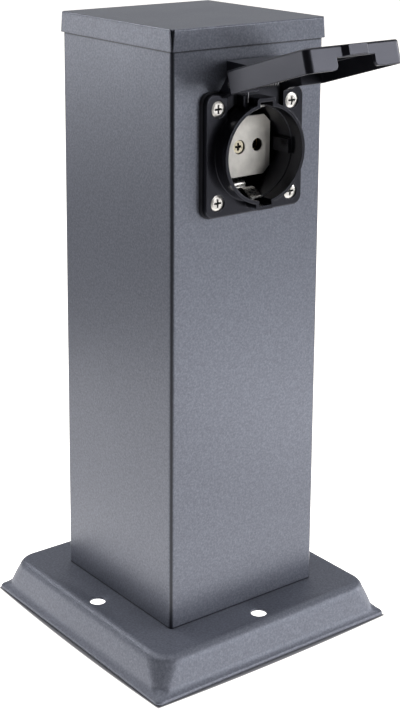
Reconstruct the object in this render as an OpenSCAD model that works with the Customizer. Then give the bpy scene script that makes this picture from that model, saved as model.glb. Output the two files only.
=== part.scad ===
// Garden socket post: a square folded post on a pressed base, with one covered outlet.
// Millimetres. The origin is the middle of the base's underside, +Z is up, and the
// outlet looks along -Y. The lid is drawn open, as it is photographed.

/* [Post] */
// Outside width of the square post
post_w = 78; // [76:0.5:88]
// Length of the post
post_h = 251; // [220:1:400]
// Thickness of the post's sheet
sheet = 1; // [0.8:0.1:1.3]
// Outside radius of a folded edge
fold_r = 1.8; // [1.6:0.1:2.4]
// Thickness of the cap's sheet
cap_sheet = 0.6; // [0.5:0.1:1]
// Height of the cap's skirt
cap_skirt = 8.7; // [7:0.1:14]
// Play between the cap's skirt and the post
cap_play = 0.15; // [0.1:0.05:0.4]

/* [Base] */
// Width of the base over its rim
base_w = 125; // [122:1:150]
// Height of the base
base_h = 16; // [15:0.5:22]
// Thickness of the base's sheet
base_sheet = 1.2; // [1:0.1:1.5]
// Distance of a fixing hole from the side of the base
fixing_inset = 13; // [12:0.25:13.5]
// Diameter of a fixing hole
fixing_d = 6.8; // [5:0.1:7.4]
// Diameter of the cable inlet
inlet_d = 12; // [8:0.5:14]

/* [Outlet] */
// Distance of the outlet's middle below the post's top edge
outlet_drop = 51; // [48:1:100]
// Width of the square flange
flange_w = 50; // [49.5:0.1:52]
// Thickness of the flange
flange_t = 2.3; // [2.1:0.1:2.8]
// Thickness of the gasket behind the flange
gasket_t = 1.5; // [1:0.1:2]
// Spacing of the flange screws
screw_spacing = 38; // [37.6:0.1:38.6]
// Diameter of the plug recess
recess_d = 38.4; // [37:0.1:40]
// Distance of the collar's rim from the post's face
rim_out = 10.6; // [10.2:0.1:11]
// Depth of the recess from the rim to the contact insert
recess_depth = 17; // [16.5:0.1:17.6]
// Spacing of the pin holes
pin_spacing = 19; // [18.6:0.1:19.4]
// Diameter of a pin hole
pin_hole_d = 5.4; // [5.2:0.1:5.8]

/* [Lid] */
// Angle of the lid from closed, as drawn
lid_open = 107; // [80:1:107]
// Wall thickness of the lid
lid_wall = 1.6; // [1.2:0.1:1.7]
// Room between the lid's side walls and its seal
lid_room = 0.7; // [0.3:0.1:0.8]
// Height of the hinge axis above the key bump of the collar
hinge_rise = 6.4; // [6.2:0.1:6.8]
// Distance of the hinge axis from the post's face
hinge_out = 8.5; // [8.3:0.1:8.8]

/* [Hidden] */
$fn = 48;
eps = 0.01;
coating = [0.27, 0.29, 0.32];
black_plastic = [0.09, 0.09, 0.1];
black_rubber = [0.06, 0.06, 0.06];
grey_plastic = [0.72, 0.7, 0.68];
bright_metal = [0.8, 0.8, 0.8];
brass_colour = [0.75, 0.6, 0.3];
lead_green = [0.35, 0.6, 0.15];

// Heights of the post
post_top = base_h + post_h;
post_in = post_w / 2 - sheet;
outlet_z = post_top - outlet_drop;
cap_bend = cap_play + cap_sheet;

// Base pan: its wall leans in more and its corner radius grows towards the shoulder
layer_t = 0.1;
rim_t = 1.2;
rim_corner = 1.6;
wall_foot = base_w / 2 - 2;
wall_foot_corner = 5;
shoulder = base_w / 2 - 4;
shoulder_corner = 10.5;
shoulder_r = 4.5;
bend_start = 15;
fixing_r = base_w / 2 - fixing_inset;

// Bottom tabs of the post and what fastens them
tab_w = 24;
tab_l = 14;
foot_r = post_in - 7;
foot_d = 4;
foot_head_d = 8;
foot_head_t = 2.4;
foot_nut_af = 7;
foot_nut_t = 3.2;
fastener_play = 0.2;
thread_play = 0.05;

// Cable grommet
grommet_neck = inlet_d * 5 / 3;
grommet_flange = grommet_neck * 1.3;
grommet_lip = 2.4;

// Outlet, measured outwards from the post's face
flange_front = gasket_t + flange_t;
flange_corner = 4;
collar_wall = 1.4;
collar_r = recess_d / 2 + collar_wall;
key_w = 6.4;
key_r = recess_d / 2 + 2;
bump_w = 9.4;
bump_r = key_r + 1.6;
rib_w = 5.8;
rib_in = recess_d / 2 - 2;
step_out = rim_out - 6.5;
step_r = recess_d / 2 - 0.25;
insert_front = rim_out - recess_depth;
insert_t = 10.6;
floor_front = insert_front - insert_t;
floor_t = 2.5;
floor_back = floor_front - floor_t;
skirt_back = floor_back - 2;
cutout_r = collar_r + 0.9;

// Flange screws and their sunk seats
screw_d = 3.5;
screw_head_d = 6.6;
screw_sink = 0.5;
head_out = flange_front - screw_sink;
head_cone = (screw_head_d - screw_d) / 2;
screw_end = -12;
nut_af = 6;
nut_t = 2.8;

// Contact insert
insert_play = 0.3;
insert_w = 0.844 * recess_d;
insert_h = 0.651 * recess_d;
insert_side = 2 * sqrt(pow(step_r - insert_play, 2) - pow(insert_w / 2, 2));
insert_flat = 0.796 * insert_w;
sink_d = 6;
sink_depth = 2.5;
pin_wall = 1.6;
sleeve_l = insert_t - pin_wall - 2.4;
sleeve_in = 5;
sleeve_out = 6.6;
sleeve_room = 7.2;
insert_screw_d = 3;
insert_head_d = 5.4;
insert_head_t = 1.7;
insert_nut_af = 5.5;
insert_nut_t = 2.4;

// Earth strap
strap_w = 6;
strap_t = 0.8;
strap_rise = recess_d / 2 - 4.6;
strap_ledge = recess_d / 2 - 1.9;
strap_tip = recess_d / 2 - 0.5;
strap_bow = 1.9;
strap_bow_l = 10.4;
strap_bend = 0.9;

// Terminals behind the outlet's floor
clamp_w = 8;
clamp_t = 8.5;
clamp_mid = floor_back - 5;
clamp_back = floor_back - clamp_t;
tail_d = 3;
wire_hole_d = 3.6;
clamp_screw_d = 3;
clamp_head_d = 5;
clamp_head_t = 2;
earth_up = -11.5;

// Lid, closed: up from the outlet's middle, out from the post's face
lid_gap = 0.3;
lid_back = flange_front + lid_gap;
seal_t = 1.1;
seal_play = 0.1;
lid_inside = rim_out + seal_play + seal_t;
lid_front = lid_inside + lid_wall;
hinge_up = bump_r + hinge_rise;
lid_top = hinge_up - 7.8;
lid_tip = -bump_r - lid_wall - 1.2;
lid_corner = 2.5;
lid_edge = 0.9;
lug_in = 11;
lug_out = 14.1;
lug_r = 4.2;
ear_in = lug_out + 0.4;
ear_out = ear_in + 2.9;
ear_r = 3.2;
ear_foot = flange_w / 2 - 1.7;
gap_half = lug_out + 0.3;
pin_d = 2.5;
pin_play = 0.05;
hump_start = lid_top - 4.4;
hump_end = lid_top + 11.2;
hump_rise = 5.1;
hump_lean = 2.6;
hump_wall = 1.3;
hump_depth = 8.9;
hump_slope = hump_rise / (hump_end - hump_start);
hump_corner = [hump_end, lid_front + hump_rise];
hump_back = hump_corner + [hump_lean, -hump_depth];
hump_step = bump_r + 0.8;
lip_w = 13.2;
lip_reach = 2;
notch_w = 19;
notch_h = 4.6;
notch_corner = 2;
seal_in = recess_d / 2 - 1.2;
seal_out = collar_r + 0.8;
seal_end = bump_r + 0.3;
seal_w = bump_w + 1;
lid_w = 2 * (seal_out + lid_room + lid_wall);

// Lid spring
spring_d = 0.75;
spring_r = 2.2;
spring_turns = 10;
spring_pitch = 1.25;
spring_leg = 8.5;
spring_arm = 6.4;
spring_start = 180;
spring_end = 80 + lid_open;
spring_angle = 360 * spring_turns - spring_end + spring_start;
spring_steps = 16 * spring_turns;
spring_length = spring_pitch * spring_angle / 360;
seat_w = 2.4;
seat_x = -spring_length / 2 - seat_w / 2 - 0.6;

// Earth bond
stud_up = 29;
stud_z = base_h + stud_up;
stud_d = 5;
stud_l = 12;
lug_t = 0.8;
stud_nut_af = 8;
stud_nut_t = 4;
lead_d = 3.2;
lead_bend = 18;
barrel_d = 5;

// Shared shapes

module rounded_square(w, h, r) {
  square([w - 2 * r, h], center = true);
  square([w, h - 2 * r], center = true);
  for (x = [-1, 1], y = [-1, 1])
    translate([x * (w / 2 - r), y * (h / 2 - r)]) circle(r);
}

// Half section of a plate whose front edge is rounded by f
module edge_profile(half, t, f) {
  square([half, t - f]);
  square([half - f, t]);
  translate([half - f, t - f]) circle(f);
}

// Plate with round corners and a rounded front edge
module soft_plate(w, h, t, r, f) {
  for (side = [0, 1])
    rotate([90, 0, 180 * side])
      linear_extrude(h - 2 * r, center = true) edge_profile(w / 2, t, f);
  for (side = [0, 1])
    rotate([90, 0, 90 + 180 * side])
      linear_extrude(w - 2 * r, center = true) edge_profile(h / 2, t, f);
  for (turn = [0:3])
    let (even = turn % 2 == 0, a = even ? w : h, b = even ? h : w)
      rotate([0, 0, 90 * turn]) translate([a / 2 - r, b / 2 - r, 0])
        rotate_extrude(angle = 90) edge_profile(r, t, f);
}

module hex(af, t) {
  linear_extrude(t) circle(af / sqrt(3), $fn = 6);
}

module four_sides() {
  for (turn = [0:3]) rotate([0, 0, 90 * turn]) children();
}

// Outlet frame: x to the right, y up from the outlet's middle, z out of the post's face
module at_outlet() {
  translate([0, -post_w / 2, outlet_z]) rotate([90, 0, 0]) children();
}

// Shape drawn as (up, out), run along x
module across(l) {
  rotate([90, 0, 90]) linear_extrude(l, center = true) children();
}

module at_flange_screws() {
  for (x = [-1, 1], y = [-1, 1])
    translate([x, y, 0] * screw_spacing / 2) children();
}

// Turns the closed lid about its hinge to the drawn angle
module at_lid() {
  at_outlet()
    translate([0, hinge_up, hinge_out]) rotate([-lid_open, 0, 0])
      translate([0, -hinge_up, -hinge_out]) children();
}

// Base

module pan_layer(half, corner, z) {
  for (x = [-1, 1], y = [-1, 1])
    translate([x * (half - corner), y * (half - corner), z - layer_t])
      cylinder(h = layer_t, r = corner, $fn = 32);
}

// Pressed form: bowed leaning walls, conical corners and a rounded shoulder
module pan_form(inset, foot, top) {
  bend = top - shoulder_r;
  function tuck(a) = shoulder_r * (1 - cos(a));
  wall_top = bend + shoulder_r * sin(bend_start);
  lean = wall_foot - shoulder + tuck(bend_start);
  grow = shoulder_corner - tuck(bend_start) - wall_foot_corner;
  hull() {
    for (t = [0:0.25:0.75])
      pan_layer(wall_foot - inset - lean * t * (1 + t) / 2,
        wall_foot_corner - inset + grow * t, foot + (wall_top - foot) * t);
    for (a = [bend_start:15:90])
      pan_layer(shoulder - inset - tuck(a), shoulder_corner - inset - tuck(a),
        bend + shoulder_r * sin(a));
  }
}

module base_pan() color(coating) difference() {
  union() {
    linear_extrude(rim_t) rounded_square(base_w, base_w, rim_corner);
    pan_form(0, rim_t, base_h);
    hull() {
      pan_layer(base_w / 2 - 1, rim_corner + 0.8, rim_t);
      pan_layer(wall_foot - 0.2, wall_foot_corner, rim_t + 1.5);
    }
  }
  pan_form(base_sheet, -layer_t, base_h - base_sheet);
  four_sides() translate([fixing_r, 0, 0]) cylinder(h = base_h + 1, d = fixing_d);
  four_sides() translate([foot_r, 0, 0]) cylinder(h = base_h + 1, d = foot_d + 2 * fastener_play);
  cylinder(h = base_h + 1, d = grommet_neck);
}

module cable_grommet() color(black_rubber) translate([0, 0, base_h - base_sheet])
  rotate_extrude() difference() {
    union() {
      translate([0, -grommet_lip]) square([grommet_flange / 2 - 1, grommet_lip]);
      translate([0, -grommet_lip / 2]) square([grommet_flange / 2, grommet_lip / 2]);
      square([grommet_neck / 2, base_sheet]);
      translate([0, base_sheet]) square([grommet_flange / 2, grommet_lip / 2]);
      translate([0, base_sheet]) square([grommet_flange / 2 - 1, grommet_lip]);
    }
    translate([0, -grommet_lip - 1]) square([inlet_d / 2, base_sheet + 2 * grommet_lip + 2]);
  }

module foot_screws() color(bright_metal) four_sides()
  translate([foot_r, 0, base_h - base_sheet]) {
    difference() {
      translate([0, 0, -foot_head_t]) cylinder(h = foot_head_t, d = foot_head_d);
      for (turn = [0, 90]) rotate([0, 0, turn])
        translate([0, 0, -foot_head_t]) cube([4.4, 0.9, 2.6], center = true);
    }
    cylinder(h = base_sheet + sheet + foot_nut_t + 2, d = foot_d);
  }

module foot_nuts() color(bright_metal) four_sides()
  translate([foot_r, 0, base_h + sheet]) difference() {
    hex(foot_nut_af, foot_nut_t);
    translate([0, 0, -1]) cylinder(h = foot_nut_t + 2, d = foot_d + 2 * thread_play);
  }

// Post

module post_tube() color(coating) difference() {
  union() {
    translate([0, 0, base_h]) linear_extrude(post_h) difference() {
      rounded_square(post_w, post_w, fold_r);
      rounded_square(2 * post_in, 2 * post_in, fold_r - sheet);
    }
    four_sides() translate([post_in - tab_l, -tab_w / 2, base_h])
      cube([tab_l + sheet / 2, tab_w, sheet]);
  }
  four_sides() translate([foot_r, 0, base_h - 1])
    cylinder(h = sheet + 2, d = foot_d + 2 * fastener_play);
  at_outlet() {
    translate([0, 0, -sheet - 1]) cylinder(h = sheet + 2, r = cutout_r);
    at_flange_screws() translate([0, 0, -sheet - 1])
      cylinder(h = sheet + 2, d = screw_d + 2 * fastener_play);
  }
}

// One side of the cap: a bend, then a skirt that narrows to the open corner
module cap_side(half) {
  slit_top = 1.5;
  slit_foot = 0.7;
  translate([0, -half, 0]) rotate([90, 0, 0]) translate([0, 0, -cap_sheet]) linear_extrude(cap_sheet)
    polygon([[-half + slit_foot, -cap_skirt], [half - slit_foot, -cap_skirt],
      [half - slit_top, -cap_bend], [-half + slit_top, -cap_bend]]);
  translate([0, -half + cap_bend, -cap_bend]) rotate([0, -90, 0])
    linear_extrude(2 * (half - slit_top), center = true) intersection() {
      difference() {
        circle(cap_bend);
        circle(cap_bend - cap_sheet);
      }
      translate([0, -cap_bend]) square(cap_bend);
    }
}

module top_cap() color(coating) translate([0, 0, post_top + cap_sheet]) {
  half = post_w / 2 + cap_bend;
  inner = half - cap_bend;
  translate([0, 0, -cap_sheet / 2]) cube([2 * inner, 2 * inner, cap_sheet], center = true);
  four_sides() cap_side(half);
}

// Outlet

module flange_gasket() color(black_rubber) at_outlet() difference() {
  linear_extrude(gasket_t) rounded_square(flange_w + 1.2, flange_w + 1.2, flange_corner + 0.4);
  translate([0, 0, -1]) cylinder(h = gasket_t + 2, r = collar_r + 0.7);
  at_flange_screws() translate([0, 0, -1])
    cylinder(h = gasket_t + 2, d = screw_d + 2 * fastener_play);
}

// Hinge ear as (up, out): it rises from the flange's top edge and ends in a round eye
module ear_profile() {
  polygon([[ear_foot, gasket_t], [ear_foot, flange_front], [ear_foot + 1.3, hinge_out - 2.2],
    [hinge_up - 2.4, hinge_out + 2.1], [hinge_up, hinge_out],
    [hinge_up + 1.6, hinge_out - 2.7], [flange_w / 2, gasket_t]]);
  translate([hinge_up, hinge_out]) circle(ear_r);
}

module hinge_ears() {
  for (side = [-1, 1])
    translate([side * (ear_in + ear_out) / 2, 0, 0]) across(ear_out - ear_in) ear_profile();
}

// Web on the collar that the spring's fixed leg presses on
module spring_seat() {
  seat_out = hinge_out - spring_r - spring_d / 2;
  foot = sqrt(pow(collar_r - 0.6, 2) - pow(seat_x + seat_w, 2));
  translate([seat_x, foot, gasket_t]) cube([seat_w, hinge_up - 5.5 - foot, seat_out - gasket_t]);
}

// Flange with a gap at its top, in which the lid's hump turns
module flange_plate() {
  translate([0, 0, gasket_t]) difference() {
    soft_plate(flange_w, flange_w, flange_t, flange_corner, 0.5);
    translate([-gap_half, 0, -1]) cube([2 * gap_half, flange_w, flange_t + 2]);
  }
}

module key_bumps() {
  translate([0, 0, gasket_t]) linear_extrude(rim_out - gasket_t)
    rounded_square(bump_w, 2 * bump_r, 1.5);
}

module guide_ribs() {
  for (side = [-1, 1]) intersection() {
    translate([side * (rib_in + 2), 0, (insert_front + step_out) / 2])
      cube([4, rib_w, step_out - insert_front], center = true);
    translate([0, 0, insert_front]) cylinder(h = 20, r = collar_r - 0.5);
  }
}

module sunk_hole() {
  translate([0, 0, gasket_t - 1]) cylinder(h = flange_t + 2, d = screw_d + 2 * fastener_play);
  translate([0, 0, head_out - head_cone])
    cylinder(h = head_cone, d1 = screw_d, d2 = screw_head_d);
  translate([0, 0, head_out]) cylinder(h = screw_sink + 1, d = screw_head_d + 0.3);
}

module socket_body() color(black_plastic) at_outlet() {
  difference() {
    union() {
      flange_plate();
      translate([0, 0, skirt_back]) cylinder(h = rim_out - skirt_back, r = collar_r);
      key_bumps();
      hinge_ears();
      spring_seat();
    }
    translate([0, 0, floor_front]) cylinder(h = rim_out - floor_front + 1, r = step_r);
    translate([0, 0, step_out]) cylinder(h = rim_out - step_out + 1, d = recess_d);
    translate([-key_w / 2, -key_r, gasket_t + 1]) cube([key_w, 2 * key_r, rim_out]);
    translate([0, 0, skirt_back - 1]) cylinder(h = floor_back - skirt_back + 1, d = recess_d);
    at_flange_screws() sunk_hole();
    translate([0, hinge_up, hinge_out]) rotate([0, 90, 0])
      cylinder(h = 2 * ear_out + 2, d = pin_d, center = true);
    translate([0, 0, floor_back - 1]) {
      cylinder(h = floor_t + 2, d = insert_screw_d + 2 * fastener_play);
      for (side = [-1, 1]) translate([side * pin_spacing / 2, 0, 0])
        cylinder(h = floor_t + 2, d = tail_d + 2 * fastener_play);
      translate([0, earth_up, 0]) cylinder(h = floor_t + 2, d = tail_d + 2 * fastener_play);
    }
  }
  guide_ribs();
}

module flange_screws() color(bright_metal) at_outlet() at_flange_screws() {
  crown = 0.4;
  difference() {
    union() {
      translate([0, 0, head_out - head_cone])
        cylinder(h = head_cone, d1 = screw_d, d2 = screw_head_d);
      translate([0, 0, head_out]) cylinder(h = crown, d1 = screw_head_d, d2 = screw_head_d - 2);
    }
    for (turn = [0, 90]) rotate([0, 0, turn])
      translate([0, 0, head_out + crown]) cube([3.6, 0.8, 2], center = true);
  }
  translate([0, 0, screw_end]) cylinder(h = head_out - head_cone - screw_end, d = screw_d);
}

module flange_nuts() color(bright_metal) at_outlet() at_flange_screws()
  translate([0, 0, -sheet - nut_t]) difference() {
    hex(nut_af, nut_t);
    translate([0, 0, -1]) cylinder(h = nut_t + 2, d = screw_d + 2 * thread_play);
  }

// Contacts

module insert_outline() {
  polygon([for (x = [1, -1]) each let (s = x > 0 ? [1, -1] : [-1, 1]) [
    [x * insert_flat / 2, s[0] * insert_h / 2], [x * insert_w / 2, s[0] * insert_side / 2],
    [x * insert_w / 2, s[1] * insert_side / 2], [x * insert_flat / 2, s[1] * insert_h / 2]]]);
}

module contact_insert() color(grey_plastic) at_outlet() difference() {
  translate([0, 0, floor_front]) linear_extrude(insert_t) insert_outline();
  translate([0, insert_h / 2 + 2.6, floor_front - 1])
    cylinder(h = insert_t + 2, r = strap_w / 2 + 1.2);
  translate([0, 0, insert_front - sink_depth]) cylinder(h = sink_depth + 1, d = sink_d);
  translate([0, 0, floor_front - 1])
    cylinder(h = insert_t + 2, d = insert_screw_d + 2 * fastener_play);
  translate([-strap_w / 2 - 0.3, -insert_h / 2 - 1, floor_front - 1])
    cube([strap_w + 0.6, insert_h + 2, strap_t + 1.2]);
  for (side = [-1, 1]) translate([side * pin_spacing / 2, 0, 0]) {
    translate([0, 0, floor_front - 1]) cylinder(h = insert_t + 2, d = pin_hole_d);
    translate([0, 0, floor_front - 1]) cylinder(h = insert_t - pin_wall + 1, d = sleeve_room);
  }
}

module insert_screw() color(bright_metal) at_outlet() {
  seat = insert_front - sink_depth;
  difference() {
    translate([0, 0, seat]) cylinder(h = insert_head_t, d = insert_head_d);
    for (turn = [0, 90]) rotate([0, 0, turn])
      translate([0, 0, seat + insert_head_t]) cube([3.2, 1, 2], center = true);
  }
  tail = floor_back - insert_nut_t - 1;
  translate([0, 0, tail]) cylinder(h = seat - tail, d = insert_screw_d);
}

module insert_nut() color(bright_metal) at_outlet()
  translate([0, 0, floor_back - insert_nut_t]) difference() {
    hex(insert_nut_af, insert_nut_t);
    translate([0, 0, -1]) cylinder(h = insert_nut_t + 2, d = insert_screw_d + 2 * thread_play);
  }

// Clamp block behind the floor, with a wire hole from below and a screw from the back
module clamp_block() {
  difference() {
    translate([0, 0, clamp_back + clamp_t / 2]) cube([clamp_w, clamp_w, clamp_t], center = true);
    translate([0, 0, clamp_mid]) rotate([90, 0, 0])
      cylinder(h = clamp_w + 2, d = wire_hole_d, center = true);
    translate([0, 0, clamp_back - 1])
      cylinder(h = clamp_mid - clamp_back + 1, d = clamp_screw_d + 2 * thread_play);
  }
  translate([0, 0, floor_back - eps]) cylinder(h = floor_t + eps, d = tail_d);
}

// Slit sleeve for one plug pin
module pin_contact() {
  clamp_block();
  difference() {
    translate([0, 0, floor_front]) cylinder(h = sleeve_l, d = sleeve_out);
    translate([0, 0, floor_front + 1.2]) cylinder(h = insert_t, d = sleeve_in);
    translate([0, 0, floor_front + 2.4 + insert_t / 2])
      cube([0.8, sleeve_out + 1, insert_t], center = true);
  }
}

module line_contact() color(brass_colour) at_outlet()
  translate([-pin_spacing / 2, 0, 0]) pin_contact();

module neutral_contact() color(brass_colour) at_outlet()
  translate([pin_spacing / 2, 0, 0]) pin_contact();

module earth_terminal() color(brass_colour) at_outlet()
  translate([0, earth_up, 0]) clamp_block();

module terminal_screws() color(bright_metal) at_outlet()
  for (place = [[-pin_spacing / 2, 0], [pin_spacing / 2, 0], [0, earth_up]])
    translate([place[0], place[1], clamp_back]) {
      difference() {
        translate([0, 0, -clamp_head_t]) cylinder(h = clamp_head_t, d = clamp_head_d);
        translate([0, 0, -clamp_head_t]) cube([clamp_head_d + 1, 0.8, 2], center = true);
      }
      cylinder(h = 1.6, d = clamp_screw_d);
    }

// Bend of the strap's middle line from angle a to b about a centre, as (up, out)
function strap_turn(up, out, a, b) = [for (t = [0:0.25:1])
  [up, out] + strap_bend * [cos(a + (b - a) * t), sin(a + (b - a) * t)]];

// One arm as (up, out): up beside the insert, over a ledge, then a bow towards the plug
function strap_arm() = concat(
  strap_turn(strap_rise - strap_bend, floor_front + strap_t / 2 + strap_bend, -90, 0),
  strap_turn(strap_rise + strap_bend, insert_front - strap_bend + 0.4, 180, 90),
  strap_turn(strap_ledge - strap_bend, insert_front + strap_bend + 0.4, -90, 10),
  [for (t = [0.2:0.1:1]) [strap_ledge + (strap_tip - strap_ledge) * t
      - strap_bow * pow(sin(180 * pow(t, 0.8)), 2), insert_front + 1.4 + strap_bow_l * t]]);

// Side of a strip of middle points, at a distance d from them
function strip_side(points, d) = let (last = len(points) - 1) [for (i = [0:last])
  let (along = points[min(i + 1, last)] - points[max(i - 1, 0)])
    points[i] + d * [-along[1], along[0]] / norm(along)];

function mirrored(points) = [for (p = points) [-p[0], p[1]]];
function reversed(points) = [for (i = [len(points) - 1:-1:0]) points[i]];

module strap_profile() {
  middle = concat(mirrored(reversed(strap_arm())), strap_arm());
  polygon(concat(strip_side(middle, strap_t / 2), reversed(strip_side(middle, -strap_t / 2))));
}

module earth_strap() color(bright_metal) at_outlet() difference() {
  across(strap_w) strap_profile();
  translate([0, 0, floor_front - 1])
    cylinder(h = strap_t + 2, d = insert_screw_d + 2 * fastener_play);
}

// Lid

// Outline of the hump over the hinge as (up, out)
module hump_profile() {
  polygon([[lid_top - lid_wall, lid_back], [lid_top - lid_wall, lid_inside],
    [hump_start, lid_inside], [hump_start, lid_front], hump_corner, hump_back,
    [hinge_up, hinge_out - lug_r + 0.6], [lid_top, lid_back]]);
  translate([hinge_up, hinge_out]) circle(lug_r);
}

// Room inside the hump for the spring and the key bump of the collar
module hump_room() {
  roof = lid_inside - 0.1 + (hump_step - hump_start) * hump_slope;
  wall_end = hump_back - [hump_wall + 0.05, 0];
  polygon([[lid_top - 10, 0], [lid_top - 10, lid_inside], [hump_step, lid_inside],
    [hump_step, roof], hump_corner - [0.8, hump_wall + 0.7], wall_end,
    hump_back + [1, 0], hump_back + [1, -12], [hump_end, -6]]);
}

module thumb_lip() {
  reach = lid_tip - lip_reach;
  translate([0, 0, lid_front - 4.4]) linear_extrude(4.4 - 0.3)
    polygon([[-lip_w / 2, lid_tip + 1], [-lip_w / 2, lid_tip], [-lip_w / 2 + lip_reach, reach],
      [lip_w / 2 - lip_reach, reach], [lip_w / 2, lid_tip], [lip_w / 2, lid_tip + 1]]);
}

// Cover with round corners at its tip, cut off square at its hinge end
module lid_shell() {
  spare = 6;
  outside = lid_top + spare - lid_tip;
  inside = lid_top - lid_tip - 2 * lid_wall;
  difference() {
    union() {
      translate([0, lid_tip + outside / 2, lid_back])
        soft_plate(lid_w, outside, lid_front - lid_back, lid_corner, lid_edge);
      thumb_lip();
    }
    translate([-lid_w, lid_top, lid_back - 1]) cube([2 * lid_w, spare + 1, lid_front]);
    translate([0, lid_tip + lid_wall + inside / 2, lid_back - 1])
      linear_extrude(lid_inside - lid_back + 1)
        rounded_square(lid_w - 2 * lid_wall, inside, lid_corner - 1.2);
  }
}

// Finger notch of the tip's wall as (across, out), flared at the wall's edge
module notch_profile() {
  translate([-notch_w / 2, -1]) square([notch_w, notch_h + 1]);
  for (side = [-1, 1]) translate([side * notch_w / 2, 0]) difference() {
    translate([-notch_corner, -1]) square([2 * notch_corner, 1 + notch_corner]);
    translate([side * notch_corner, notch_corner]) circle(notch_corner);
  }
}

module socket_lid() color(black_plastic) at_lid() difference() {
  union() {
    lid_shell();
    across(2 * lug_out) hump_profile();
  }
  across(2 * lug_in) hump_room();
  translate([0, lid_tip + lid_wall + 0.5, lid_back]) rotate([90, 0, 0])
    linear_extrude(lid_wall + 1.5) notch_profile();
  translate([0, hinge_up, hinge_out]) rotate([0, 90, 0])
    cylinder(h = 2 * lug_out + 2, d = pin_d + 2 * pin_play, center = true);
}

module lid_seal() color(black_rubber) at_lid() translate([0, 0, lid_inside - seal_t])
  linear_extrude(seal_t) difference() {
    union() {
      circle(seal_out);
      square([seal_w, 2 * seal_end], center = true);
    }
    circle(seal_in);
  }

module hinge_pin() color(bright_metal) at_outlet()
  translate([0, hinge_up, hinge_out]) rotate([0, 90, 0])
    cylinder(h = 2 * ear_out - 0.4, d = pin_d, center = true);

// Spring path about the hinge: a leg to the flange, the coil, then an arm under the hump
function spring_out(a) = [0, sin(a), cos(a)];
function spring_along(a) = [0, -cos(a), sin(a)];
function coil_turn(i) = spring_start - spring_angle * i / spring_steps;
function coil_point(i) = spring_r * spring_out(coil_turn(i))
  + [spring_length * (i / spring_steps - 0.5), 0, 0];

spring_path = concat(
  [coil_point(0) - spring_leg * spring_along(spring_start)],
  [for (i = [0:spring_steps]) coil_point(i)],
  [coil_point(spring_steps) + spring_arm * spring_along(coil_turn(spring_steps))]);
spring_normals = concat([spring_out(spring_start)],
  [for (i = [0:spring_steps]) spring_out(coil_turn(i))],
  [spring_out(coil_turn(spring_steps))]);

// Least clear distance between neighbouring turns, from points a half turn or more apart
spring_gap = min([for (i = [0:spring_steps], j = [i + 8:spring_steps])
  norm(coil_point(i) - coil_point(j)) - spring_d]);

module wire_tube(path, normals, d, sides) {
  rings = len(path);
  points = [for (k = [0:rings - 1], s = [0:sides - 1])
    let (a = 360 * s / sides) path[k] + d / 2 * (cos(a) * normals[k] + [sin(a), 0, 0])];
  walls = [for (k = [0:rings - 2], s = [0:sides - 1])
    let (n = (s + 1) % sides)
      [k * sides + s, k * sides + n, (k + 1) * sides + n, (k + 1) * sides + s]];
  ends = [[for (s = [sides - 1:-1:0]) s], [for (s = [0:sides - 1]) (rings - 1) * sides + s]];
  polyhedron(points, concat(walls, ends));
}

module lid_spring() color(bright_metal) at_outlet() translate([0, hinge_up, hinge_out]) {
  echo(lid_spring_least_gap = spring_gap);
  wire_tube(spring_path, spring_normals, spring_d, 8);
}

// Earth bond inside the post

module at_stud() {
  translate([0, post_in, stud_z]) rotate([90, 0, 0]) children();
}

module earth_stud() color(bright_metal) at_stud() cylinder(h = stud_l, d = stud_d);

module earth_lug() color(bright_metal) at_stud() difference() {
  union() {
    cylinder(h = lug_t, d = 10);
    translate([-barrel_d / 2, 0, 0]) cube([barrel_d, 8, lug_t]);
    translate([0, 7, barrel_d / 2]) rotate([-90, 0, 0]) cylinder(h = 7, d = barrel_d);
  }
  translate([0, 0, -1]) cylinder(h = lug_t + 2, d = stud_d + 2 * fastener_play);
  translate([0, 8, barrel_d / 2]) rotate([-90, 0, 0]) cylinder(h = 7, d = lead_d);
}

module earth_nut() color(bright_metal) at_stud() translate([0, 0, lug_t]) difference() {
  hex(stud_nut_af, stud_nut_t);
  translate([0, 0, -1]) cylinder(h = stud_nut_t + 2, d = stud_d + 2 * thread_play);
}

// The lead climbs the back wall, crosses to the outlet and ends in the earth clamp
module earth_lead() color(lead_green) {
  back = post_in - barrel_d / 2;
  front = -post_w / 2 - clamp_mid;
  lead_foot = stud_z + 8;
  lead_top = outlet_z + earth_up;
  cross_z = (lead_foot + lead_top) / 2;
  translate([0, back, lead_foot]) cylinder(h = cross_z - lead_bend - lead_foot, d = lead_d);
  translate([0, back - lead_bend, cross_z - lead_bend]) rotate([90, 0, 90])
    rotate_extrude(angle = 90) translate([lead_bend, 0]) circle(d = lead_d);
  translate([0, back - lead_bend, cross_z]) rotate([90, 0, 0])
    cylinder(h = back - front - 2 * lead_bend, d = lead_d);
  translate([0, front + lead_bend, cross_z + lead_bend]) rotate([90, 0, 90])
    rotate([0, 0, 180]) rotate_extrude(angle = 90) translate([lead_bend, 0]) circle(d = lead_d);
  translate([0, front, cross_z + lead_bend])
    cylinder(h = lead_top - cross_z - lead_bend, d = lead_d);
}

base_pan();
post_tube();
top_cap();
foot_screws();
foot_nuts();
cable_grommet();
flange_gasket();
socket_body();
contact_insert();
insert_screw();
insert_nut();
line_contact();
neutral_contact();
earth_strap();
earth_terminal();
terminal_screws();
flange_screws();
flange_nuts();
hinge_pin();
lid_spring();
socket_lid();
lid_seal();
earth_stud();
earth_nut();
earth_lug();
earth_lead();
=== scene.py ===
"""Looks of the garden socket post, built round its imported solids.

Lengths are written in millimetres and turned into metres when a mesh is made. The
frame is the solids' own: the origin is under the middle of the base, +Z is up and the
outlet looks along -Y, with its lid open.
"""

import math

import bmesh
import bpy
import numpy as np
from mathutils import Matrix, Vector
from mathutils.geometry import delaunay_2d_cdt


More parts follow.
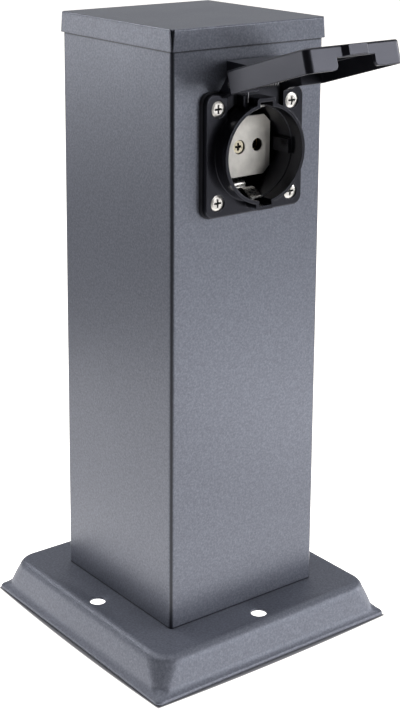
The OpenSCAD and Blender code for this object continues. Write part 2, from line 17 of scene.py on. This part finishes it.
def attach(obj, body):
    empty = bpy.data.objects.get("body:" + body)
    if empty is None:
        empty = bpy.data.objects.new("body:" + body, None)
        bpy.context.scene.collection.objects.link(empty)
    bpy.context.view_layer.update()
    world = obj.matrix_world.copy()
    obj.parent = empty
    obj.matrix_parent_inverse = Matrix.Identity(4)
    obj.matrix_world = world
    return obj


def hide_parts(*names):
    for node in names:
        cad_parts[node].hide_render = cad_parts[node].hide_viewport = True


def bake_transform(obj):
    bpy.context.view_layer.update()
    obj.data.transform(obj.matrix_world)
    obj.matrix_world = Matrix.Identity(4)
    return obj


MM = 0.001

# Sizes shared with the part's source
POST_HALF = 39.0
OUTLET_Z = 216.0
HINGE_UP = 29.2
HINGE_OUT = 8.5
INSERT_OUT = -6.4
SCREW_HEAD_OUT = 3.3
PIN_SIDE = 9.5
SLEEVE_R = 2.5
LEAD_R = 1.6
PAN_HEIGHT = 16.0
SKIRT_Z = 258.9
FOLD_R = 1.8

# Camera, fitted to the photograph's straight edges
IMAGE_W, IMAGE_H = 400, 709
FOCAL_PX = 1519.7
PRINCIPAL_PX = (190.85, 166.3)
CAMERA_PLACE = (-0.3840, -0.5046, 0.3394)
CAMERA_YAW, CAMERA_PITCH, CAMERA_ROLL = 37.27, -12.20, 0.30
SENSOR = 36.0

# Glow of the floor's disc, what is added near the base, the floor that the camera sees, and the
# brightness of the backdrop for the camera and for the post
DISC_GLOW = 1.36
NEAR_GLOW = 0.50
FLOOR_GLOW = 1.1
BACKDROP = 0.75
SURROUND = 0.02

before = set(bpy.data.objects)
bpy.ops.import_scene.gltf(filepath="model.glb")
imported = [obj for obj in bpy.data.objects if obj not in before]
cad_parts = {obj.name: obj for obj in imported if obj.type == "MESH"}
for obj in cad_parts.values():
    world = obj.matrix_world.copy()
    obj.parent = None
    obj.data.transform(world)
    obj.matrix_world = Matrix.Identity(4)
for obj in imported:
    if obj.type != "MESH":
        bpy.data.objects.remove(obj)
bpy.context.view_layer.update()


# Meshes

def grid_faces(rows, columns, wrap=True):
    """Quads between neighbouring rows and columns of a grid whose columns may close on themselves."""
    row, column = np.meshgrid(
        np.arange(rows - 1), np.arange(columns if wrap else columns - 1), indexing="ij")
    following = (column + 1) % columns
    corners = [row * columns + column, row * columns + following,
               (row + 1) * columns + following, (row + 1) * columns + column]
    return np.stack(corners, -1).reshape(-1, 4)


def add_piece(name, parts, material, body, smooth_angle=35):
    """Joins parts, each points in millimetres and faces, into one welded mesh that rides on a body."""
    start = 0
    points, faces = [], []
    for part_points, part_faces in parts:
        points.append(np.reshape(part_points, (-1, 3)))
        faces += (np.asarray(part_faces) + start).tolist()
        start += len(points[-1])
    mesh = bpy.data.meshes.new(name)
    mesh.from_pydata(np.concatenate(points) * MM, [], faces)
    edit = bmesh.new()
    edit.from_mesh(mesh)
    bmesh.ops.remove_doubles(edit, verts=edit.verts, dist=0.002 * MM)
    bmesh.ops.recalc_face_normals(edit, faces=edit.faces)
    edit.to_mesh(mesh)
    edit.free()
    mesh.shade_smooth()
    mesh.set_sharp_from_angle(angle=math.radians(smooth_angle))
    mesh.materials.append(material)
    piece = bpy.data.objects.new(name, mesh)
    bpy.context.scene.collection.objects.link(piece)
    if body:
        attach(piece, body)
    return piece


# Materials

def new_finish(name):
    """A material with one Principled shader; returns the material, its node tree and the shader."""
    material = bpy.data.materials.new(name)
    material.use_nodes = True
    tree = material.node_tree
    return material, tree, tree.nodes["Principled BSDF"]


def add_node(tree, kind, values=None, **settings):
    """Adds a node, sets its properties and its input sockets by name."""
    node = tree.nodes.new(kind)
    for key, value in settings.items():
        setattr(node, key, value)
    for key, value in (values or {}).items():
        node.inputs[key].default_value = value
    return node


def grain(tree, per_metre, detail=2.0, roughness=0.5):
    """Noise on the object's own coordinates, with that many waves to the metre."""
    place = add_node(tree, "ShaderNodeTexCoord")
    noise = add_node(tree, "ShaderNodeTexNoise",
                     {"Scale": per_metre, "Detail": detail, "Roughness": roughness})
    tree.links.new(place.outputs["Object"], noise.inputs["Vector"])
    return noise


def object_axes(tree):
    """The object's own coordinates, as the sockets X, Y and Z."""
    place = add_node(tree, "ShaderNodeTexCoord")
    axes = add_node(tree, "ShaderNodeSeparateXYZ")
    tree.links.new(place.outputs["Object"], axes.inputs["Vector"])
    return axes.outputs


def tint(tree, shader, source, stops):
    """Colours the shader by a ramp over a value: stops are pairs of place and colour."""
    node = add_node(tree, "ShaderNodeValToRGB")
    elements = node.color_ramp.elements
    while len(elements) < len(stops):
        elements.new(0.5)
    for element, (place, colour) in zip(elements, stops):
        element.position = place
        element.color = (*colour, 1.0)
    tree.links.new(source, node.inputs["Fac"])
    tree.links.new(node.outputs["Color"], shader.inputs["Base Color"])


def remap(tree, source, low, high):
    """Maps a value from 0..1 onto low..high."""
    node = add_node(tree, "ShaderNodeMapRange", {"To Min": low, "To Max": high})
    tree.links.new(source, node.inputs["Value"])
    return node.outputs["Result"]


def climb(tree, source, start, end, top=1.0, shape="LINEAR"):
    """Value that climbs from 0 where the source is at its start to a top where it is at its end."""
    node = add_node(tree, "ShaderNodeMapRange", {"From Min": start, "From Max": end, "To Max": top},
                    interpolation_type=shape)
    tree.links.new(source, node.inputs["Value"])
    return node.outputs["Result"]


def roughen(tree, shader, source, smoothest, roughest):
    """Spreads the shader's roughness over a range by a value."""
    tree.links.new(remap(tree, source, smoothest, roughest), shader.inputs["Roughness"])


def calculate(tree, operation, first, second):
    """One step of arithmetic on two values, each a socket or a number."""
    node = add_node(tree, "ShaderNodeMath", operation=operation)
    for number, value in enumerate((first, second)):
        if isinstance(value, (int, float)):
            node.inputs[number].default_value = value
        else:
            tree.links.new(value, node.inputs[number])
    return node.outputs["Value"]


def bump(tree, shader, height, strength, depth_mm, edge_mm):
    """Feeds a height into the shader's normal, with the piece's sharp edges rounded to a radius."""
    node = add_node(tree, "ShaderNodeBump", {"Strength": strength, "Distance": depth_mm * MM})
    edge = add_node(tree, "ShaderNodeBevel", {"Radius": edge_mm * MM}, samples=6)
    tree.links.new(edge.outputs["Normal"], node.inputs["Normal"])
    tree.links.new(height, node.inputs["Height"])
    tree.links.new(node.outputs["Normal"], shader.inputs["Normal"])


def below_face(tree, face_out, fade):
    """Mask that is 0 at a face that far out of the post and 1 deeper than a fade, in millimetres."""
    face = -(POST_HALF + face_out) * MM
    return climb(tree, object_axes(tree)["Y"], face + 0.1 * fade * MM, face + fade * MM)


def paint_shade(tree, shader, mask, colour):
    """Paints shade into the shader's colour: a darker one where the mask is 1, as in holes that get little
    light.
    """
    link = shader.inputs["Base Color"].links[0]
    mix = add_node(tree, "ShaderNodeMixRGB", {"Color2": (*colour, 1.0)})
    tree.links.new(mask, mix.inputs["Fac"])
    tree.links.new(link.from_socket, mix.inputs["Color1"])
    tree.links.new(mix.outputs["Color"], shader.inputs["Base Color"])


def powder_coat(name, smoothest=0.29, roughest=0.37):
    """Anthracite powder coat: a fine stipple, with pale metal flakes in a blue grey ground."""
    material, tree, shader = new_finish(name)
    ground = grain(tree, 1200, 3.0, 0.65)
    tint(tree, shader, ground.outputs["Fac"], [
        (0.30, (0.085, 0.091, 0.116)), (0.50, (0.115, 0.124, 0.157)),
        (0.66, (0.149, 0.161, 0.200))])
    haze = grain(tree, 40, 2.0)
    roughen(tree, shader, haze.outputs["Fac"], smoothest, roughest)
    shader.inputs["Metallic"].default_value = 0.35
    shader.inputs["Specular IOR Level"].default_value = 0.5
    stipple = grain(tree, 900, 3.0, 0.6)
    bump(tree, shader, stipple.outputs["Fac"], 0.36, 0.10, 0.35)
    return material


def post_coat():
    """The post's powder coat, with shadow lines painted above the base and under the cap's skirt, and a dark
    reflection painted along its folds.
    """
    material = powder_coat("post_coat")
    tree = material.node_tree
    axes = object_axes(tree)
    x = calculate(tree, "ABSOLUTE", axes["X"], 0.0)
    y = calculate(tree, "ABSOLUTE", axes["Y"], 0.0)
    corner = 2 * POST_HALF - FOLD_R * (2 - math.sqrt(2))
    # Painted shade: a shadow line above the base, one under the cap's skirt, and a dark reflection along the
    # folds.
    for value, clear, dark in [(axes["Z"], PAN_HEIGHT + 0.8, PAN_HEIGHT + 0.3),
                               (axes["Z"], SKIRT_Z - 1.0, SKIRT_Z - 0.3),
                               (calculate(tree, "ADD", x, y), corner - 0.35, corner)]:
        line = climb(tree, value, clear * MM, dark * MM)
        paint_shade(tree, tree.nodes["Principled BSDF"], line, (0.012, 0.013, 0.020))
    return material


def moulded_plastic(name, colour, smoothest, roughest, per_metre=2600, depth=0.02, edge=0.3,
                    gloss=(0.80, 0.82, 1.0), shine=0.5):
    """Moulded plastic: an even ground with a faint cloud in it and a fine skin."""
    material, tree, shader = new_finish(name)
    cloud = grain(tree, 130, 4.0)
    low = tuple(0.82 * c for c in colour)
    high = tuple(1.18 * c for c in colour)
    tint(tree, shader, cloud.outputs["Fac"], [(0.35, low), (0.65, high)])
    roughen(tree, shader, cloud.outputs["Fac"], smoothest, roughest)
    skin = grain(tree, per_metre, 2.0)
    bump(tree, shader, skin.outputs["Fac"], 0.4, depth, edge)
    shader.inputs["Specular Tint"].default_value = (*gloss, 1.0)
    shader.inputs["Specular IOR Level"].default_value = shine
    return material


def bright_metal(name, colour, smoothest, roughest, per_metre=900):
    """Plated metal: a bright skin with fine streaks that break its gloss."""
    material, tree, shader = new_finish(name)
    streak = grain(tree, per_metre, 4.0)
    low = tuple(0.8 * c for c in colour)
    tint(tree, shader, streak.outputs["Fac"], [(0.3, low), (0.6, colour)])
    roughen(tree, shader, streak.outputs["Fac"], smoothest, roughest)
    shader.inputs["Metallic"].default_value = 1.0
    bump(tree, shader, streak.outputs["Fac"], 0.25, 0.01, 0.1)
    return material


def insert_plastic():
    """Grey insert, pale on its face, with painted shade in the holes and behind its edges."""
    material = moulded_plastic("insert_plastic", (0.78, 0.755, 0.71), 0.34, 0.44, gloss=(1, 1, 1))
    tree = material.node_tree
    # Painted shade: the insert goes dark below its face, in the holes and behind its edges.
    mask = below_face(tree, INSERT_OUT - 0.3, 0.3)
    paint_shade(tree, tree.nodes["Principled BSDF"], mask, (0.012, 0.011, 0.010))
    return material


def screw_nickel():
    """Nickel screw heads, with painted shade in the bottom of the cross."""
    material = bright_metal("nickel", (0.66, 0.64, 0.61), 0.26, 0.38)
    tree = material.node_tree
    # Painted shade: dark below the heads' face, in the bottom of the cross.
    mask = below_face(tree, SCREW_HEAD_OUT - 0.1, 0.3)
    paint_shade(tree, tree.nodes["Principled BSDF"], mask, (0.02, 0.02, 0.02))
    return material


def dull_screw():
    """The insert's screw: yellowed plating round a cross painted dark as shade."""
    material = bright_metal("dull_screw", (0.60, 0.55, 0.42), 0.32, 0.44)
    tree = material.node_tree
    # Painted shade: dark below the head's face, in the cross.
    mask = below_face(tree, INSERT_OUT - 0.9, 0.3)
    paint_shade(tree, tree.nodes["Principled BSDF"], mask, (0.015, 0.014, 0.012))
    return material


def sleeve_brass():
    """Brass contacts, dark in the bores of their sleeves, which little light reaches."""
    material = bright_metal("brass", (0.72, 0.50, 0.20), 0.22, 0.34)
    tree = material.node_tree
    axes = object_axes(tree)
    side = calculate(tree, "ABSOLUTE", axes["X"], 0.0)
    aside = calculate(tree, "SUBTRACT", side, PIN_SIDE * MM)
    above = calculate(tree, "SUBTRACT", axes["Z"], OUTLET_Z * MM)
    squares = [calculate(tree, "POWER", value, 2.0) for value in (aside, above)]
    reach = calculate(tree, "SQRT", calculate(tree, "ADD", *squares), 0.0)
    bore = climb(tree, reach, (SLEEVE_R + 0.3) * MM, (SLEEVE_R + 0.1) * MM)
    paint_shade(tree, tree.nodes["Principled BSDF"], bore, (0.02, 0.014, 0.006))
    return material


def lead_sheath():
    """Earth lead: green, with a yellow stripe along the side that faces +X."""
    material, tree, shader = new_finish("lead_sheath")
    side = climb(tree, object_axes(tree)["X"], -LEAD_R * MM, LEAD_R * MM)
    tint(tree, shader, side, [(0.66, (0.02, 0.16, 0.03)), (0.70, (0.75, 0.55, 0.03))])
    skin = grain(tree, 1800)
    roughen(tree, shader, skin.outputs["Fac"], 0.4, 0.5)
    bump(tree, shader, skin.outputs["Fac"], 0.2, 0.02, 0.1)
    return material


finishes = {
    "coating": powder_coat("powder_coat"),
    "black_plastic": moulded_plastic("black_plastic", (0.005, 0.005, 0.007), 0.28, 0.36, edge=0.45),
    "rubber": moulded_plastic("rubber", (0.008, 0.008, 0.009), 0.55, 0.7, 1800, 0.04),
    "insert_plastic": insert_plastic(),
    "zinc_steel": bright_metal("zinc_steel", (0.62, 0.63, 0.64), 0.28, 0.4),
    "nickel": screw_nickel(),
    "spring_metal": bright_metal("spring_metal", (0.60, 0.59, 0.57), 0.22, 0.34),
    "brass": sleeve_brass(),
    "lead_sheath": lead_sheath(),
}

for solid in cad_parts.values():
    for holder in solid.material_slots:
        holder.material = finishes[holder.material.name]
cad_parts["post_tube"].material_slots[0].material = post_coat()
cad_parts["insert_screw"].material_slots[0].material = dull_screw()
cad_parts["socket_body"].material_slots[0].material = moulded_plastic(
    "outlet_plastic", (0.004, 0.004, 0.0055), 0.20, 0.28, edge=0.45, shine=0.42)


# Base pan

PAN_RIM, PAN_RIM_CORNER = 62.5, 2.2
PAN_LIP_CORNER = 2.6
PAN_FLARE = np.array([60.6, 4.6, 3.1])
PAN_SHEET = 1.2
PAN_FOOT, PAN_FOOT_CORNER = 60.5, 5.0
PAN_SHOULDER, PAN_SHOULDER_CORNER = 58.5, 10.5
PAN_SHOULDER_R = 4.5
PAN_BEND_START = 15.0
RIM_R = 1.15
RIM_ROLL_START, RIM_ROLL_END = 48, -60
FIXING_RING, FIXING_R, FIXING_EDGE = 49.5, 3.4, 0.35
FOOT_RING, FOOT_R, SHARP_EDGE = 31.0, 2.2, 0.1
GROMMET_R = 10.0
HOLE_SIDES = 32


def rounded_outline(half_x, half_y, corner, arc_points):
    """Points round a rectangle: a quarter circle of that radius at each corner, joined by straight sides."""
    quarter = np.linspace(0, math.pi / 2, arc_points)
    turn = (np.arange(4)[:, None] * math.pi / 2 + quarter).ravel()
    diagonal = np.repeat(np.arange(4) * math.pi / 2 + math.pi / 4, arc_points)
    half_x, half_y, corner = (np.asarray(size)[..., None] for size in (half_x, half_y, corner))
    x = (half_x - corner) * np.sign(np.cos(diagonal)) + corner * np.cos(turn)
    y = (half_y - corner) * np.sign(np.sin(diagonal)) + corner * np.sin(turn)
    return x, y


def pan_wall(inset, foot, top):
    """One skin of the pan, from its foot to its plateau: rows of half width, corner radius and height.

    The wall leans inwards ever more while its corner radius grows, then turns through
    an arc into the plateau.
    """
    turn = np.radians(np.linspace(PAN_BEND_START, 90, 12))
    tuck = PAN_SHOULDER_R * (1 - np.cos(turn))
    arc = np.stack([PAN_SHOULDER - tuck, PAN_SHOULDER_CORNER - tuck,
                    top - PAN_SHOULDER_R * (1 - np.sin(turn))], 1)
    share = np.linspace(0, 1, 11)[:-1]
    start = np.array([PAN_FOOT, PAN_FOOT_CORNER, foot])
    pull = np.stack([share * (1 + share) / 2, share, share], 1)
    wall = start + (arc[0] - start) * pull
    return np.concatenate([wall, arc]) - [inset, inset, 0]


def pan_section():
    """Whole section of the pan: down the outer skin, out over the rim and up the inner skin.

    The wall flares out along a parabola, and the rim's edge rolls under in the arc of a circle
    that stands on the ground.
    """
    outer = pan_wall(0, PAN_SHEET, PAN_HEIGHT)
    inner = pan_wall(PAN_SHEET, 0.0, PAN_HEIGHT - PAN_SHEET)
    turn = np.radians(np.linspace(RIM_ROLL_START, RIM_ROLL_END, 14))
    roll = np.stack([PAN_RIM - RIM_R * (1 - np.cos(turn)),
                     np.linspace(PAN_LIP_CORNER, PAN_RIM_CORNER, 14),
                     RIM_R * (1 + np.sin(turn))], 1)
    share = np.linspace(0, 1, 12)[:-1, None]
    flare = (1 - share) ** 2 * outer[3] + 2 * share * (1 - share) * PAN_FLARE + share ** 2 * roll[0]
    return np.concatenate([outer[:3:-1], flare, roll, inner])


def hole_wall(centre, radius, low, high, soften):
    """Wall of a round hole through a plate: a straight tube whose ends flare by a small quarter circle."""
    flare = np.radians(np.linspace(0, 90, 4))
    top = np.stack([radius + soften * (1 - np.sin(flare)), high - soften * (1 - np.cos(flare))], 1)
    section = np.concatenate([top, top[::-1] * [1, -1] + [0, low + high]])
    turn = np.linspace(0, 2 * math.pi, HOLE_SIDES, endpoint=False)
    points = np.stack(np.broadcast_arrays(
        centre[0] + section[:, :1] * np.cos(turn), centre[1] + section[:, :1] * np.sin(turn),
        section[:, 1:]), -1)
    return points, grid_faces(len(section), HOLE_SIDES)


def plate_with_holes(outline, rings, height):
    """Flat plate between an outline and round holes, cut into triangles."""
    loops = [outline, *rings]
    flat = np.concatenate(loops)
    ends = np.cumsum([len(loop) for loop in loops])
    edges = np.concatenate([np.stack([np.arange(a, b), np.roll(np.arange(a, b), -1)], 1)
                            for a, b in zip(ends - [len(loop) for loop in loops], ends)])
    result = delaunay_2d_cdt([Vector(p) for p in flat], edges.tolist(), [], 1, 1e-7)
    points = np.array([tuple(p) for p in result[0]])
    faces = np.array([tuple(f) for f in result[2]])
    middle = points[faces].mean(1)
    for ring in rings:
        centre = ring.mean(0)
        inside = np.linalg.norm(ring - centre, axis=1).min()
        faces = faces[np.linalg.norm(middle - centre, axis=1) > inside]
        middle = points[faces].mean(1)
    return np.column_stack([points, np.full(len(points), height)]), faces


def make_base_pan():
    """Pressed base: one skin swept round the pan, two flat plates and the walls of the holes."""
    section = pan_section()
    x, y = rounded_outline(section[:, 0], section[:, 0], section[:, 1], 13)
    skin = np.stack(np.broadcast_arrays(x, y, section[:, 2:]), -1)
    parts = [(skin, grid_faces(len(section), x.shape[1]))]
    around = np.radians(90 * np.arange(4))
    compass = np.stack([np.cos(around), np.sin(around)], 1)
    holes = [(FIXING_RING * p, FIXING_R, FIXING_EDGE) for p in compass]
    holes += [(FOOT_RING * p, FOOT_R, SHARP_EDGE) for p in compass]
    holes.append((np.zeros(2), GROMMET_R, SHARP_EDGE))
    low, high = PAN_HEIGHT - PAN_SHEET, PAN_HEIGHT
    walls = [hole_wall(centre, radius, low, high, soften) for centre, radius, soften in holes]
    parts += walls
    parts.append(plate_with_holes(skin[0, :, :2], [w[0][0, :, :2] for w in walls], high))
    parts.append(plate_with_holes(skin[-1, :, :2], [w[0][-1, :, :2] for w in walls], low))
    coat = powder_coat("pan_coat", 0.42, 0.50)
    pan = add_piece("base_pan_skin", parts, coat, "post")
    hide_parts("base_pan")


make_base_pan()


# Earth strap

STRAP_HALF_W, STRAP_HALF_T, STRAP_EDGE = 3.0, 0.4, 0.25
STRAP_BEND = 0.9
STRAP_BENDS = [(13.7, -15.7, -90, 0), (15.5, -6.9, 180, 90), (16.4, -5.1, -90, 10)]
BOW_UP, BOW_OUT = 17.3, -5.0
BOW_RISE, BOW_DIP, BOW_LENGTH = 1.4, 1.9, 10.4


def strap_arm():
    """Middle line of one arm as rows of up and out: three quarter bends, then a bow towards the plug.

    The bow is a straight rise less the square of a sine that is drawn towards its foot.
    """
    bends = []
    for up, out, start, end in STRAP_BENDS:
        turn = np.radians(np.linspace(start, end, 10))
        bends.append(np.stack([up + STRAP_BEND * np.cos(turn), out + STRAP_BEND * np.sin(turn)], 1))
    t = np.linspace(0.12, 1, 36)
    dip = BOW_DIP * np.sin(math.pi * t ** 0.8) ** 2
    bow = np.stack([BOW_UP + BOW_RISE * t - dip, BOW_OUT + BOW_LENGTH * t], 1)
    return np.concatenate([*bends, bow])


def make_earth_strap():
    """Bent strip: a rectangle with round edges swept along both arms, its ends closed to their middles."""
    arm = strap_arm()
    middle = np.concatenate([arm[::-1] * [-1, 1], arm])
    along = np.gradient(middle, axis=0)
    along /= np.linalg.norm(along, axis=1, keepdims=True)
    across = np.stack([-along[:, 1], along[:, 0]], 1)
    wide, thick = rounded_outline(STRAP_HALF_W, STRAP_HALF_T, STRAP_EDGE, 5)
    rows = np.concatenate([[0], np.arange(len(middle)), [len(middle) - 1]])
    size = np.ones(len(rows))
    size[[0, -1]] = 0
    place = middle[rows][:, None] + across[rows][:, None] * (size[:, None] * thick)[..., None]
    points = np.stack([size[:, None] * wide, -POST_HALF - place[..., 1], OUTLET_Z + place[..., 0]], -1)
    strap = add_piece("earth_strap_strip", [(points, grid_faces(len(rows), len(wide)))],
                      finishes["spring_metal"], "post", 50)
    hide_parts("earth_strap")


make_earth_strap()


# Lid spring

SPRING_WIRE = 0.75
SPRING_R = 2.2
SPRING_LENGTH = 12.476
SPRING_TURN = 3593.0
SPRING_LEG = 8.5
SPRING_ARM = 6.4


def tube(path, sides, radius):
    """Round tube along a path: each ring stands across the path, and the ends close to a point."""
    along = np.gradient(path, axis=0)
    along /= np.linalg.norm(along, axis=1, keepdims=True)
    across = np.cross(along, [1.0, 0.0, 0.0])
    across /= np.linalg.norm(across, axis=1, keepdims=True)
    upright = np.cross(along, across)
    size = np.full(len(path), radius)
    size[[0, -1]] = 0
    turn = np.linspace(0, 2 * math.pi, sides, endpoint=False)[:, None]
    ring = np.cos(turn) * across[:, None] + np.sin(turn) * upright[:, None]
    return path[:, None] + size[:, None, None] * ring, grid_faces(len(path), sides)


def make_lid_spring():
    """Torsion spring: a straight leg, a coil about the hinge axis and a straight arm."""
    share = np.linspace(0, 1, 500)
    angle = np.radians(180 - SPRING_TURN * share)
    coil = np.stack([SPRING_LENGTH * (share - 0.5), SPRING_R * np.sin(angle),
                     SPRING_R * np.cos(angle)], 1)
    first = np.array([0, -math.cos(angle[0]), math.sin(angle[0])])
    last = np.array([0, -math.cos(angle[-1]), math.sin(angle[-1])])
    reach = np.array([1.0, 0.999, 0.6, 0.2])[:, None]
    path = np.concatenate([coil[0] - SPRING_LEG * reach * first, coil,
                           coil[-1] + SPRING_ARM * reach[::-1] * last])
    place = np.stack([path[:, 0], -POST_HALF - HINGE_OUT - path[:, 2],
                      OUTLET_Z + HINGE_UP + path[:, 1]], 1)
    wire = bright_metal("spring_wire", (0.16, 0.16, 0.17), 0.30, 0.42)
    spring = add_piece("lid_spring_coil", [tube(place, 12, SPRING_WIRE / 2)], wire,
                       None, 60)
    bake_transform(spring)
    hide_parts("lid_spring")


make_lid_spring()


# Camera, floor and light

FLOOR_HALF = 8.0
DISC_FADE = (0.44, 0.34)
NEAR_FADE = (0.17, 0.11)
SHADOW_START, SHADOW_FULL, SHADOW_END = 61.5, 63.4, 65.1
SHADOW_BOW = 0.37


def make_camera():
    """Camera with the photograph's place, lens and off-centre framing."""
    yaw, pitch, roll = (math.radians(a) for a in (CAMERA_YAW, CAMERA_PITCH, CAMERA_ROLL))
    forward = Vector((math.cos(pitch) * math.sin(yaw), math.cos(pitch) * math.cos(yaw),
                      math.sin(pitch)))
    level = Vector((math.cos(yaw), -math.sin(yaw), 0))
    above = level.cross(forward)
    right = math.cos(roll) * level + math.sin(roll) * above
    up = -math.sin(roll) * level + math.cos(roll) * above
    lens = bpy.data.cameras.new("camera")
    lens.sensor_width = SENSOR
    lens.lens = FOCAL_PX * SENSOR / IMAGE_H
    lens.shift_x = (IMAGE_W / 2 - PRINCIPAL_PX[0]) / IMAGE_H
    lens.shift_y = (PRINCIPAL_PX[1] - IMAGE_H / 2) / IMAGE_H
    lens.clip_start, lens.clip_end = 0.01, 50
    camera = bpy.data.objects.new("camera", lens)
    turn = Matrix((right, up, -forward)).transposed().to_4x4()
    camera.matrix_world = Matrix.Translation(CAMERA_PLACE) @ turn
    bpy.context.scene.collection.objects.link(camera)
    bpy.context.scene.camera = camera


def rim_shadow(tree):
    """Mask that is 1 on the strip of floor that the rim keeps dark, widest at the middle of a side.

    It reads the greater of |x| and |y|, to which a share of the square of the lesser is added.
    """
    axes = object_axes(tree)
    x = calculate(tree, "ABSOLUTE", axes["X"], 0.0)
    y = calculate(tree, "ABSOLUTE", axes["Y"], 0.0)
    lesser = calculate(tree, "MINIMUM", x, y)
    bow = calculate(tree, "MULTIPLY", calculate(tree, "POWER", lesser, 2.0), SHADOW_BOW)
    reach = calculate(tree, "ADD", calculate(tree, "MAXIMUM", x, y), bow)
    outer = climb(tree, reach, SHADOW_END * MM, SHADOW_FULL * MM, shape="SMOOTHSTEP")
    beside = calculate(tree, "GREATER_THAN", reach, SHADOW_START * MM)
    return calculate(tree, "MULTIPLY", outer, beside)


def make_floor():
    """Pale floor: a disc under the post glows like a light table, and the camera sees the rest bright."""
    material, tree, shader = new_finish("floor_paint")
    mottle = grain(tree, 6, 3.0)
    tint(tree, shader, mottle.outputs["Fac"], [(0.3, (0.34, 0.34, 0.34)), (0.7, (0.37, 0.37, 0.37))])
    shadow = rim_shadow(tree)
    paint_shade(tree, shader, shadow, (0.25, 0.25, 0.27))
    shader.inputs["Roughness"].default_value = 0.9
    shader.inputs["Specular IOR Level"].default_value = 0.1
    place = add_node(tree, "ShaderNodeTexCoord")
    reach = add_node(tree, "ShaderNodeVectorMath", operation="LENGTH")
    tree.links.new(place.outputs["Object"], reach.inputs["Vector"])
    disc = climb(tree, reach.outputs["Value"], *DISC_FADE, DISC_GLOW, "SMOOTHSTEP")
    near = climb(tree, reach.outputs["Value"], *NEAR_FADE, NEAR_GLOW, "SMOOTHSTEP")
    rays = add_node(tree, "ShaderNodeLightPath")
    seen = remap(tree, rays.outputs["Is Camera Ray"], 0.0, FLOOR_GLOW)
    open_floor = calculate(tree, "SUBTRACT", 1.0, shadow)
    table = calculate(tree, "ADD", disc, near)
    bright = calculate(tree, "MAXIMUM", table, seen)
    glow = calculate(tree, "MULTIPLY", bright, open_floor)
    shader.inputs["Emission Color"].default_value = (1.0, 0.98, 0.95, 1)
    tree.links.new(glow, shader.inputs["Emission Strength"])
    mesh = bpy.data.meshes.new("floor")
    corners = FLOOR_HALF * np.array([[-1, -1, 0], [1, -1, 0], [1, 1, 0], [-1, 1, 0]])
    mesh.from_pydata(corners, [], [[0, 1, 2, 3]])
    mesh.materials.append(material)
    floor = bpy.data.objects.new("floor", mesh)
    bpy.context.scene.collection.objects.link(floor)


def softbox(name, place, target, width, height, power):
    """Rectangular soft light at a place, turned to a target."""
    light = bpy.data.lights.new(name, "AREA")
    light.shape = "RECTANGLE"
    light.size, light.size_y = width, height
    light.energy = power
    lamp = bpy.data.objects.new(name, light)
    lamp.location = place
    lamp.rotation_euler = (Vector(target) - Vector(place)).to_track_quat("-Z", "Y").to_euler()
    bpy.context.scene.collection.objects.link(lamp)


def make_surround():
    """Pale backdrop for the camera, which lights the post only a little."""
    world = bpy.data.worlds.new("surround")
    world.use_nodes = True
    tree = world.node_tree
    rays = add_node(tree, "ShaderNodeLightPath")
    strength = remap(tree, rays.outputs["Is Camera Ray"], SURROUND, BACKDROP)
    background = tree.nodes["Background"]
    background.inputs["Color"].default_value = (1, 1, 1, 1)
    tree.links.new(strength, background.inputs["Strength"])
    bpy.context.scene.world = world


def make_light():
    """Soft studio light: boxes to the right, in front, on the floor, behind the post and overhead."""
    middle = (0, 0, 0.15)
    softbox("right_box", (1.15, -0.50, 0.35), middle, 0.5, 0.5, 7.4)
    softbox("front_box", (0.42, -1.0, 0.30), middle, 0.35, 0.45, 3.9)
    softbox("high_box", (0.95, -1.05, 0.72), middle, 0.33, 0.33, 3.1)
    softbox("floor_box", (0.28, -0.32, 0.002), (0.28, -0.32, 1), 0.3, 0.3, 0.37)
    softbox("left_low_box", (-1.2, 1.4, 0.12), middle, 0.9, 0.22, 4.4)
    softbox("left_high_box", (-1.2, 1.4, 0.85), middle, 0.9, 0.4, 4.2)
    softbox("back_box", (1.2, 1.5, 0.5), middle, 1.2, 0.6, 1.0)
    softbox("edge_box", (-0.3, 1.15, 1.15), middle, 0.5, 0.3, 4.5)
    softbox("top_box", (0.1, 0.3, 1.7), middle, 2.2, 2.2, 31)


make_camera()
make_floor()
make_surround()
make_light()
bpy.context.scene.view_settings.view_transform = "Standard"
